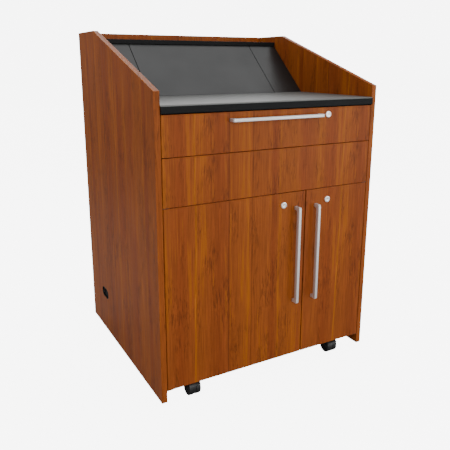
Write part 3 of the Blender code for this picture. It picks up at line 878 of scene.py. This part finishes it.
@dataclass
class Fasteners:
    """A set of the same small piece on one body, made by Geometry Nodes."""

    name: str
    kind: FastenerKind = FastenerKind.WOOD_SCREW
    body: str = "cabinet"
    finish: Finish = ZINC
    radius: float = 2.6 * MM
    seed: int = 7

    # Height and radius of each profile point, in radii, and the steps round it
    PROFILES = {
        FastenerKind.BUMPER: (20, ((0, 0), (0, 1), (0.15, 1), (0.34, 0.86), (0.44, 0.6),
                                   (0.47, 0))),
        FastenerKind.SHELF_SLEEVE: (18, ((0, 0.66), (0.12, 0.72), (0.12, 0.94), (0, 1))),
        FastenerKind.SHELF_PIN: (18, ((-1.6, 0), (-1.6, 0.5), (0, 0.5), (0, 1), (0.4, 1),
                                      (0.4, 0.56), (2.6, 0.56), (2.8, 0.4), (2.8, 0))),
    }
    HEAD_RISE = {FastenerKind.WOOD_SCREW: 0.30, FastenerKind.MACHINE_SCREW: 0.62}

    def template(self) -> BMesh:
        """Model one piece.

        Returns:
            Its mesh, seated at the origin and facing +Z.
        """
        bm = bmesh.new()
        r = self.radius
        if self.kind in self.HEAD_RISE:
            self.screw(bm, self.HEAD_RISE[self.kind], r)
        else:
            steps, profile = self.PROFILES[self.kind]
            lathe(bm, axis_frame((0, 0, 0), (0, 0, 1)), [(a * r, b * r) for a, b in profile], steps)
        return bm

    def screw(self, bm: BMesh, rise: float, r: float) -> None:
        """Add a domed head, and the raised lands between the arms of its cross recess.

        Args:
            bm: Mesh that gets the head.
            rise: Height of the head, in radii.
            r: Radius of the head.
        """
        dome = [(rise * math.sin(math.radians(a)), math.cos(math.radians(a)))
                for a in (0, 20, 40, 58)]
        profile = [(-0.1, 0), (-0.1, 1), *dome, (rise, 0.30), (rise - 0.25, 0.24), (rise - 0.3, 0)]
        lathe(bm, axis_frame((0, 0, 0), (0, 0, 1)), [(a * r, b * r) for a, b in profile], 16)
        for middle in arc((0, 0), 0.34 * r, 45, 315, 3):
            extrude(bm, "Z", arc(middle, 0.13 * r, 0, 300, 5), (rise - 0.3) * r,
                    (rise - 0.015) * r)

    def build(self, places: Sequence[Place]) -> None:
        """Set the piece on every place.

        Args:
            places: Seat and outward direction of each piece.
        """
        template = linked(f"{self.name}_template",
                          mesh_of(f"{self.name}_template", self.template(), smooth=35))
        dots = bpy.data.meshes.new(f"{self.name}_points")
        dots.from_pydata([tuple(seat) for seat, _ in places], [], [])
        facing = dots.attributes.new("facing", "FLOAT_VECTOR", "POINT")
        for i, (_, way) in enumerate(places):
            facing.data[i].vector = way
        result = run_tree(scatter_tree(), f"{self.name}_points", dots, {
            "Template": template, "Seed": self.seed, "Finish": material_of(self.finish)})
        bpy.data.objects.remove(template, do_unlink=True)
        piece(self.name, result, self.finish, self.body)


# ---------------------------------------------------------------- boards

@dataclass
class Board:
    """A laminated board with banded, eased edges."""

    node: str
    finish: Finish
    body: str = "cabinet"
    easing: float = 0.8 * MM

    def build(self) -> None:
        """Copy the board's solid and ease its edges."""
        eased_piece(f"{self.node}_board", self.node, self.finish, self.easing, self.body,
                    sharper_than=40)


@dataclass
class Carcass:
    """The cabinet's fixed boards and the rear access panel."""

    def build(self) -> None:
        """Build every board by the sheet it is cut from."""
        sheets = {
            SIDE_LAMINATE: ("left_side_panel", "right_side_panel", "centre_divider"),
            BACK_LAMINATE: ("upper_back_panel",),
            FASCIA_LAMINATE: ("front_fascia",),
            SHELF_LAMINATE: ("bottom_panel", "drawer_deck", "fascia_rail", "adjustable_shelf"),
            BAND_LAMINATE: ("left_surface_cleat", "right_surface_cleat"),
        }
        for finish, nodes in sheets.items():
            for node in nodes:
                Board(node, finish).build()
        Board("rear_access_panel", BACK_LAMINATE, "rear_panel").build()


@dataclass
class Worktop:
    """Black worktop and console: base, sloped panels, gussets, ledge, and the nosings in front."""

    easing: float = 0.6 * MM
    top_radius: float = 8 * MM
    under_radius: float = 3 * MM
    wrap: float = 62

    def build(self) -> None:
        """Build the worktop's and console's boards."""
        sheets = (
            (NOSE_VINYL, ("console_base", "left_console_gusset", "right_console_gusset")),
            (CONSOLE_LAMINATE,
             ("console_centre_panel", "console_left_wing", "console_right_wing")),
            (NOSE_VINYL, ("console_ledge",)),
        )
        for finish, nodes in sheets:
            for node in nodes:
                Board(node, finish, easing=self.easing).build()
        self.surface()

    def surface(self) -> None:
        """Build the work surface, which rolls over its front edge, and the nosing under it."""
        low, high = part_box("work_surface")
        top_r, under_r, turn = self.top_radius, self.under_radius, self.wrap
        centre = (low.y + top_r, high.z - top_r)
        over = arc(centre, top_r, 90, 90 + turn, 12)
        seam = over[-1][0]
        nose = arc(centre, top_r, 90 + turn, 180, 12)
        nose += arc((low.y + under_r, low.z + under_r), under_r, 180, 270, 8)
        back = [(high.y, low.z), (high.y, high.z)]
        for name, outline, finish in (
                ("work_surface_top", [*over, (seam, low.z), *back], WORKTOP_LAMINATE),
                ("work_surface_nosing", [*nose, (seam, low.z)], NOSE_VINYL)):
            bm = bmesh.new()
            extrude(bm, "X", outline, low.x, high.x)
            piece(name, bm, finish, replaces=["work_surface"], smooth=20)


# ---------------------------------------------------------------- handles and locks

@dataclass
class BowHandle:
    """A bow handle of flat bar with rounded corners."""

    node: str
    body: str
    finish: Finish
    easing: float = 1.6 * MM

    def build(self) -> None:
        """Copy the handle's solid and round its edges."""
        bm = from_cad(self.node)
        ease(bm, self.easing, segments=4, sharper_than=50)
        piece(f"{self.node}_bow", bm, self.finish, self.body, [self.node], smooth=32)


@dataclass
class CamLock:
    """A cam lock: chamfered face, barrel with its nut, key plug with its keyway, and cam."""

    prefix: str
    holder: str
    turner: str
    cam_way: int
    cam_length: float
    rear: bool = False
    face_radius: float = 11 * MM
    face_rise: float = 4.5 * MM
    barrel_radius: float = 9.4 * MM
    barrel_end: float = 24.2 * MM
    plug_radius: float = 6.8 * MM
    bore_radius: float = 7.0 * MM
    nut_seat: float = 19.3 * MM
    nut_radius: float = 12.5 * MM
    nut_thick: float = 3.2 * MM
    dish_radius: float = 3.6 * MM
    dish_rim: float = 4.3 * MM
    keyway: Sequence[float] = (1.2 * MM, 6.6 * MM)
    cam_near: float = 25.2 * MM
    cam_thick: float = 2.5 * MM
    cam_wide: float = 13.0 * MM

    @property
    def inward(self) -> int:
        """Which way along Y leads into the cabinet."""
        return -1 if self.rear else 1

    def build(self) -> None:
        """Build the fixed body, its nut, the turning plug and the cam."""
        low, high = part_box(f"{self.prefix}_lock_body")
        middle = (low + high) / 2
        middle.y = (high.y if self.rear else low.y) + self.inward * self.face_rise
        place = axis_frame(middle, (0, self.inward, 0))
        r, rise, bore = self.face_radius, self.face_rise, self.bore_radius
        bm = bmesh.new()
        lathe(bm, place, [
            (-rise + 0.5 * MM, bore), (-rise, bore + 0.5 * MM), (-rise, r - 1.1 * MM),
            (-rise + 0.35 * MM, r - 0.45 * MM), (-0.5 * MM, r), (0, r), (0, self.barrel_radius),
            (self.barrel_end, self.barrel_radius), (self.barrel_end, bore)], 64)
        piece(f"{self.prefix}_lock_face", bm, NICKEL_TURNED, self.holder,
              [f"{self.prefix}_lock_body"], smooth=30)
        self.nut(place)
        self.plug(place, middle)
        self.cam(middle)

    def nut(self, place: Matrix) -> None:
        """Add the hexagon nut that clamps the barrel against the board.

        Args:
            place: Frame of the lock's axis.
        """
        inner = self.barrel_radius + 0.05 * MM
        seat, end = self.nut_seat, self.nut_seat + self.nut_thick
        bm = bmesh.new()
        lathe(bm, place, [(seat, inner), (seat, self.nut_radius), (end, self.nut_radius),
                          (end, inner)], 6)
        ease(bm, 0.4 * MM, segments=1, sharper_than=40)
        piece(f"{self.prefix}_lock_nut", bm, ZINC, self.holder)

    def plug(self, place: Matrix, middle: Vector) -> None:
        """Add the dished key plug and cut its keyway.

        Args:
            place: Frame of the lock's axis.
            middle: Where the axis passes the face of the board.
        """
        r, top = self.plug_radius, 0.25 * MM - self.face_rise
        bm = bmesh.new()
        lathe(bm, place, [
            (top + 0.3 * MM, 0), (top + 0.3 * MM, self.dish_radius), (top, self.dish_rim),
            (top, r - 0.4 * MM), (top + 0.35 * MM, r), (self.cam_near, r), (self.cam_near, 0)], 48)
        wide, tall = self.keyway
        slot = bmesh.new()
        near, far = sorted((middle.y - self.inward * 5 * MM, middle.y + self.inward * 6 * MM))
        x, z = middle.x, middle.z
        block(slot, (x - wide / 2, near, z - tall / 2), (x + wide / 2, far, z + tall / 2))
        block(slot, (x - 0.4 * MM, near, z + 0.6 * MM), (x + 1.3 * MM, far, z + 1.7 * MM))
        piece(f"{self.prefix}_key_plug", bored(mesh_of("plug", bm), slot), NICKEL_TURNED,
              self.turner, [f"{self.prefix}_lock_plug"], smooth=30)

    def cam(self, middle: Vector) -> None:
        """Add the cam, a bar with two round ends.

        Args:
            middle: Where the axis passes the face of the board.
        """
        near = middle.y + self.inward * self.cam_near
        ends = sorted((near, near + self.inward * self.cam_thick))
        half, way = self.cam_wide / 2, self.cam_way
        tip = (middle.x + way * (self.cam_length - half), middle.z)
        turn = 0 if way > 0 else 180
        outline = arc(tip, half, turn - 90, turn + 90, 12)
        outline += arc((middle.x, middle.z), half, turn + 90, turn + 270, 12)
        bm = bmesh.new()
        extrude(bm, "Y", outline, *ends)
        ease(bm, 0.3 * MM, segments=1)
        piece(f"{self.prefix}_cam", bm, ZINC, self.turner, smooth=20)


# ---------------------------------------------------------------- drawer and doors

@dataclass
class Drawer:
    """Drawer front, steel tray, handle, lock and telescopic slides."""

    steel: float = 1.2 * MM
    tray_steel: float = 1.6 * MM
    fixed_screws: Sequence[float] = (0.08, 0.36, 0.64, 0.93)
    moving_screws: Sequence[float] = (0.06, 0.35, 0.66, 0.94)
    front_screws: Sequence[float] = (0.06, 0.28, 0.5, 0.72, 0.94)

    def build(self) -> None:
        """Build the drawer and what it runs on."""
        Board("drawer_front", DRAWER_LAMINATE, "drawer").build()
        eased_piece("drawer_tray_steel", "drawer_tray", POWDER_COAT, 0.5 * MM, "drawer")
        BowHandle("drawer_handle", "drawer", NICKEL_LEVEL).build()
        CamLock("drawer", "drawer", "drawer_lock", -1, 19.5 * MM).build()
        for side in ("left", "right"):
            members = {"outer": "cabinet", "middle": f"{side}_slide", "inner": "drawer"}
            for member, body in members.items():
                node = f"{side}_slide_{member}"
                eased_piece(f"{node}_channel", node, ZINC, 0.35 * MM, body)
        self.screws()

    def screws(self) -> None:
        """Screw the slides to the sides and tray, and the front to the tray."""
        fixed, moving = [], []
        for name, side in (("left", -1), ("right", 1)):
            for member, way, shares, places in (("outer", side, self.fixed_screws, fixed),
                                                ("inner", -side, self.moving_screws, moving)):
                low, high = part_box(f"{name}_slide_{member}")
                web = (low.x if way < 0 else high.x) - way * self.steel
                middle = (low.z + high.z) / 2
                places += [((web, y, middle), (-way, 0, 0)) for y in spread(low.y, high.y, shares)]
        low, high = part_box("drawer_tray")
        front = [((x, low.y + self.tray_steel, (low.z + high.z) / 2), (0, 1, 0))
                 for x in spread(low.x, high.x, self.front_screws)]
        Fasteners("slide_cabinet_screws", radius=2.9 * MM).build(fixed)
        Fasteners("slide_tray_screws", body="drawer").build(moving)
        Fasteners("drawer_front_screws", FastenerKind.MACHINE_SCREW, "drawer",
                  radius=3.4 * MM).build(front)


@dataclass
class Door:
    """A door with its handle, lock and pivots, named for its side."""

    name: str
    cam_way: int
    cam_length: float = 32 * MM
    screw_places: Sequence[Point] = ((-5 * MM, 7 * MM), (5 * MM, 15 * MM))

    def build(self) -> None:
        """Build the door and its fittings, and screw the lower pivot under the base board."""
        door = f"{self.name}_door"
        Board(door, DOOR_LAMINATE, door).build()
        BowHandle(f"{door}_handle", door, NICKEL_UPRIGHT).build()
        CamLock(door, door, f"{door}_lock", self.cam_way, self.cam_length).build()
        for node in (f"{door}_upper_pivot", f"{door}_lower_pivot"):
            eased_piece(f"{node}_plate", node, POWDER_COAT, 0.3 * MM, smooth=20)
        low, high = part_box(f"{door}_lower_pivot")
        Fasteners(f"{door}_pivot_screws").build([
            (((low.x + high.x) / 2 + dx, high.y - dy, low.z), (0, 0, -1))
            for dx, dy in self.screw_places])


@dataclass
class Strikes:
    """The angle plates that the cams turn behind."""

    steel: float = 2 * MM
    screw_shares: Sequence[float] = (0.22, 0.78)
    screw_depth: float = 0.68

    def build(self) -> None:
        """Build the three strikes with their screws."""
        places = []
        for node in ("drawer_strike", "left_door_strike", "right_door_strike"):
            eased_piece(f"{node}_angle", node, ZINC, 0.4 * MM)
            low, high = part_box(node)
            y, = spread(low.y, high.y, (self.screw_depth,))
            places += [((x, y, high.z - self.steel), (0, 0, -1))
                       for x in spread(low.x, high.x, self.screw_shares)]
        Fasteners("strike_screws").build(places)


# ---------------------------------------------------------------- inside the bays

@dataclass
class RackRails:
    """Two punched rack rails with three holes to each rack unit."""

    unit: float = 44.45 * MM
    hole_radius: float = 2.9 * MM
    hole_spread: float = 465.1 * MM
    first_holes: Sequence[float] = (6.35 * MM, 22.225 * MM, 38.1 * MM)
    steel: float = 2 * MM
    screw_shares: Sequence[float] = (0.08, 0.36, 0.64, 0.92)
    screw_inset: float = 12 * MM

    def build(self) -> None:
        """Bore the hole columns through both rails and screw the rails to the walls."""
        boxes = {side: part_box(f"{side}_rack_rail") for side in ("left", "right")}
        middle = (boxes["left"][0].x + boxes["right"][1].x) / 2
        screws = []
        for (side, (low, high)), way in zip(boxes.items(), (-1, 1)):
            node = f"{side}_rack_rail"
            bm = from_cad(node)
            ease(bm, 0.4 * MM)
            mesh = mesh_of(f"{node}_blank", bm)
            for start in self.first_holes:
                mesh = run_tree(hole_column_tree(), f"{node}_holes", mesh, {
                    "First": (middle + way * self.hole_spread / 2, low.y, low.z + start),
                    "Pitch": (0.0, 0.0, self.unit), "Count": round((high.z - low.z) / self.unit),
                    "Radius": self.hole_radius, "Length": 12 * MM,
                    "Finish": material_of(POWDER_COAT)})
            piece(f"{node}_punched", mesh, POWDER_COAT, replaces=[node])
            wall = (low.x if way < 0 else high.x) - way * self.steel
            screws += [((wall, high.y - self.screw_inset, z), (-way, 0, 0))
                       for z in spread(low.z, high.z, self.screw_shares)]
        Fasteners("rack_rail_screws", FastenerKind.MACHINE_SCREW, radius=3.4 * MM).build(screws)


@dataclass
class ShelfFittings:
    """Pin sleeves in the storage bay's walls, the four pins under the shelf, and door bumpers."""

    pitch: float = 32 * MM
    rows: int = 13
    set_in: float = 50 * MM
    pin_drop: float = 3.2 * MM
    bumper_heights: Sequence[float] = (80 * MM, 300 * MM, 520 * MM)
    bumper_inset: float = 4.5 * MM

    def build(self) -> None:
        """Set the sleeves, pins and bumpers."""
        low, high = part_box("adjustable_shelf")
        divider_low, divider_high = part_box("centre_divider")
        pin_z = low.z - self.pin_drop
        sleeves, pins = [], []
        for x, way in ((divider_high.x, 1), (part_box("right_side_panel")[0].x, -1)):
            for y in (low.y + self.set_in, high.y - self.set_in):
                pins.append(((x, y, pin_z), (way, 0, 0)))
                sleeves += [((x, y, pin_z + (row - self.rows // 2) * self.pitch), (way, 0, 0))
                            for row in range(self.rows) if row != self.rows // 2]
        edges = (divider_low.x + self.bumper_inset, divider_high.x - self.bumper_inset)
        bumpers = [((x, divider_low.y, divider_low.z + up), (0, -1, 0))
                   for up in self.bumper_heights for x in edges]
        Fasteners("shelf_pin_sleeves", FastenerKind.SHELF_SLEEVE, radius=3.6 * MM).build(sleeves)
        Fasteners("shelf_pins", FastenerKind.SHELF_PIN, finish=NICKEL_TURNED,
                  radius=3.2 * MM).build(pins)
        Fasteners("door_bumpers", FastenerKind.BUMPER, finish=CLEAR_URETHANE,
                  radius=3.6 * MM).build(bumpers)


# ---------------------------------------------------------------- cable port

@dataclass
class CablePort:
    """The port's liner, its recessed plate, and a rubber grommet in each opening."""

    opening_off: float = 17.5 * MM
    outer: Sequence[float] = (27.6 * MM, 25.6 * MM, 12.3 * MM)
    inner: Sequence[float] = (21 * MM, 19 * MM, 9 * MM)
    lip: float = 0.8 * MM

    def build(self) -> None:
        """Build the port's pieces."""
        eased_piece("cable_port_sleeve", "cable_port_liner", NYLON, 0.5 * MM, smooth=25)
        eased_piece("cable_port_face", "cable_port_plate", NYLON, 0.5 * MM, smooth=25)
        low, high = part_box("cable_port_plate")
        middle = (low + high) / 2
        near, far = low.x - self.lip, high.x + self.lip
        for name, way in (("front", -1), ("rear", 1)):
            centre = (middle.y + way * self.opening_off, middle.z)
            outer, inner = (rounded_rectangle(centre, size[:2], size[2])
                            for size in (self.outer, self.inner))
            bm = bmesh.new()
            loops = [[bm.verts.new((x, *pair)) for pair in outline]
                     for outline, x in ((outer, near), (inner, near), (inner, far), (outer, far))]
            bmesh.ops.recalc_face_normals(bm, faces=skin(bm, loops, closed=True))
            piece(f"cable_port_{name}_grommet", bm, RUBBER, smooth=25)


# ---------------------------------------------------------------- casters

@dataclass
class Caster:
    """A twin-wheel caster: moulded hood, stem, and wheels with hub caps."""

    prefix: str
    wheel_radius: float = 25 * MM
    half_width: float = 22 * MM
    slot_half: float = 4 * MM
    edge: float = 4.5 * MM
    axle_radius: float = 4 * MM
    web_radius: float = 23.5 * MM
    web_half: float = 3.2 * MM
    fender_in: float = 26.4 * MM
    fender_out: float = 28.6 * MM
    fender_half: float = 20.5 * MM
    trail: float = 20 * MM
    boss_radius: float = 12 * MM
    boss_low: float = 50.0 * MM
    boss_top: float = 61.7 * MM
    stem_radius: float = 5.5 * MM

    def build(self) -> None:
        """Build the wheels and the hood."""
        low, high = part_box(f"{self.prefix}_caster_wheels")
        self.wheels((low + high) / 2)
        self.hood((low + high) / 2)

    def wheels(self, centre: Vector) -> None:
        """Turn both wheels with their treads, hubs and the axle between them.

        Args:
            centre: Middle of the axle.
        """
        r, half, slot, edge = self.wheel_radius, self.half_width, self.slot_half, self.edge
        # How far the hub cap's rings lie in from the wheel's side, and their radii, in mm
        rings = ((0, 17.5), (0.7, 16.9), (0.7, 16.2), (0, 15.6), (0.4, 9), (1.2, 7.2),
                 (1.2, 6.4), (0.5, 6.0), (0.5, 0))
        axle, end = self.axle_radius, slot + MM
        bm = bmesh.new()
        for way in (-1, 1):
            place = axis_frame(centre, (way, 0, 0))
            tread = [(slot, 0), (slot, r - 0.8 * MM), (slot + 0.8 * MM, r)]
            tread += arc((half - edge, r - edge), edge, 90, 0, 8)
            lathe(bm, place, tread + [(half - inset * MM, ring * MM) for inset, ring in rings], 64)
            lathe(bm, place, [(-0.2 * MM, 0), (-0.2 * MM, axle), (end, axle), (end, 0)], 24)
        piece(f"{self.prefix}_caster_twin_wheels", bm, TREAD, f"{self.prefix}_wheels",
              [f"{self.prefix}_caster_wheels"], smooth=30)

    def hood(self, centre: Vector) -> None:
        """Join the web, fender, boss and stem of the hood, and bore it for the axle.

        Args:
            centre: Middle of the axle.
        """
        swivel_y = centre.y + self.trail
        axle = (centre.y, centre.z)
        web = bmesh.new()
        outline = arc(axle, self.web_radius, 110, 320, 36)
        outline += [(swivel_y + 7 * MM, 34 * MM), (swivel_y + 9 * MM, self.boss_low + 4 * MM),
                    (centre.y - 4 * MM, self.boss_low + 2.5 * MM)]
        extrude(web, "X", outline, centre.x - self.web_half, centre.x + self.web_half)

        fender = bmesh.new()
        outline = arc(axle, self.fender_out, 20, 150, 36) + arc(axle, self.fender_in, 150, 20, 36)
        extrude(fender, "X", outline, centre.x - self.fender_half, centre.x + self.fender_half)
        ease(fender, 0.7 * MM)

        boss = bmesh.new()
        low, top, radius = self.boss_low, self.boss_top, self.boss_radius
        stem, stem_top = self.stem_radius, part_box(f"{self.prefix}_caster_hood")[1].z
        lathe(boss, axis_frame((centre.x, swivel_y, 0), (0, 0, 1)), [
            (low, 0), (low, radius), (top - MM, radius), (top, radius - MM), (top, stem),
            (stem_top - MM, stem), (stem_top, stem - MM), (stem_top, 0)], 40)

        bore = bmesh.new()
        half, radius = 10 * MM, self.axle_radius + 0.25 * MM
        lathe(bore, axis_frame(centre, (1, 0, 0)), [
            (-half, 0), (-half, radius), (half, radius), (half, 0)], 24)

        mesh = mesh_of("hood", web)
        for tool, operation in ((fender, "UNION"), (boss, "UNION"), (bore, "DIFFERENCE")):
            mesh = bored(mesh, tool, operation)
        piece(f"{self.prefix}_caster_hood_shell", mesh, NYLON, f"{self.prefix}_caster",
              [f"{self.prefix}_caster_hood"], smooth=30)


# ---------------------------------------------------------------- studio

@dataclass
class Studio:
    """Pale sweep, soft light and the camera."""

    camera_place: Point = (-0.985, -1.7865, 1.079)
    camera_down: float = 13.75
    camera_yaw: float = 28.86
    lens: float = 43.41
    shift: Point = (0.0075, -0.0653)
    room_light: float = 0.35
    backdrop_glow: float = 7.0
    floor_size: float = 12.0
    floor_tone: str = "ACACAC"
    # Name, place, aim, size in metres and power in watts of each soft light
    lamps: Sequence[tuple[str, Point, Point, float, float]] = (
        ("front_softbox", (-0.5, -3.6, 1.7), (0.0, -0.35, 0.6), 2.6, 83),
        ("right_softbox", (2.1, -2.75, 0.80), (0.0, -0.35, 0.6), 1.3, 26),
        ("left_softbox", (-3.1, 0.5, 1.7), (-0.4, 0.0, 0.7), 1.8, 40),
        ("top_softbox", (0.6, -0.3, 3.4), (0.0, 0.0, 0.9), 2.8, 50),
        ("rear_softbox", (1.3, 2.6, 2.3), (0.0, 0.0, 1.0), 2.0, 45),
    )

    def build(self) -> None:
        """Build the camera, lights, world and floor."""
        self.camera()
        self.lights()
        self.room()
        self.sweep()

    def camera(self) -> None:
        """Stand the camera left of the front, a little above the worktop."""
        data = bpy.data.cameras.new("camera")
        data.lens = self.lens
        data.shift_x, data.shift_y = self.shift
        turn = (math.radians(90 - self.camera_down), 0, math.radians(-self.camera_yaw))
        bpy.context.scene.camera = self.stand("camera", data, self.camera_place, turn)

    def stand(self, name: str, data: bpy.types.ID, place: Point, turn: Point) -> bpy.types.Object:
        """Stand a camera or a lamp in the studio.

        Args:
            name: Its name.
            data: Its camera or light data.
            place: Where it stands.
            turn: Its Euler angles.

        Returns:
            The new object.
        """
        thing = bpy.data.objects.new(name, data)
        thing.location, thing.rotation_euler = place, turn
        bpy.context.scene.collection.objects.link(thing)
        return thing

    def lights(self) -> None:
        """Hang large soft lights round the lectern."""
        for name, place, aim, size, power in self.lamps:
            data = bpy.data.lights.new(name, "AREA")
            data.size, data.energy = size, power
            turn = (Vector(aim) - Vector(place)).to_track_quat("-Z", "Y").to_euler()
            self.stand(name, data, place, turn)

    def glow(self, tree: Tree, unseen: float) -> Socket:
        """Make a strength that is bright where the backdrop is looked at, and casts little light.

        Args:
            tree: Nodes of the world or the floor.
            unseen: Strength for all other rays.

        Returns:
            Socket with the strength.
        """
        seen = add_node(tree, "ShaderNodeLightPath").outputs["Is Camera Ray"]
        return add_node(tree, "ShaderNodeMath", (seen, self.backdrop_glow - unseen, unseen),
                        operation="MULTIPLY_ADD").outputs[0]

    def room(self) -> None:
        """Fill the room with white."""
        world = bpy.data.worlds.new("white_room")
        world.use_nodes = True
        tree = world.node_tree
        background = tree.nodes["Background"]
        background.inputs["Color"].default_value = (1.0, 1.0, 1.0, 1.0)
        tree.links.new(self.glow(tree, self.room_light), background.inputs["Strength"])
        bpy.context.scene.world = world

    def sweep(self) -> None:
        """Lay a plain pale floor."""
        bm = bmesh.new()
        bmesh.ops.create_grid(bm, x_segments=1, y_segments=1, size=self.floor_size)
        floor = linked("floor", mesh_of("floor", bm))
        material = bpy.data.materials.new("white_studio_floor")
        material.use_nodes = True
        tree = material.node_tree
        shader = tree.nodes["Principled BSDF"]
        shader.inputs["Base Color"].default_value = srgb(self.floor_tone)
        shader.inputs["Roughness"].default_value = 0.9
        shader.inputs["Emission Color"].default_value = (1.0, 1.0, 1.0, 1.0)
        tree.links.new(self.glow(tree, 0.0), shader.inputs["Emission Strength"])
        floor.data.materials.append(material)


def main() -> None:
    """Build every sub-assembly in order."""
    logging.basicConfig(level=logging.INFO, format="%(name)s %(message)s")
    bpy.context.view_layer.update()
    rear_lock = CamLock("rear_panel", "rear_panel", "rear_panel_lock", 1, 39 * MM, rear=True,
                        face_rise=2.2 * MM)
    casters = [Caster(f"{row}_{side}") for row in ("front", "rear") for side in ("left", "right")]
    for part in (Studio(), Carcass(), Worktop(), Drawer(), Door("left", -1), Door("right", 1),
                 rear_lock, Strikes(), RackRails(), ShelfFittings(), CablePort(), *casters):
        part.build()


if __name__ == "__main__":
    main()
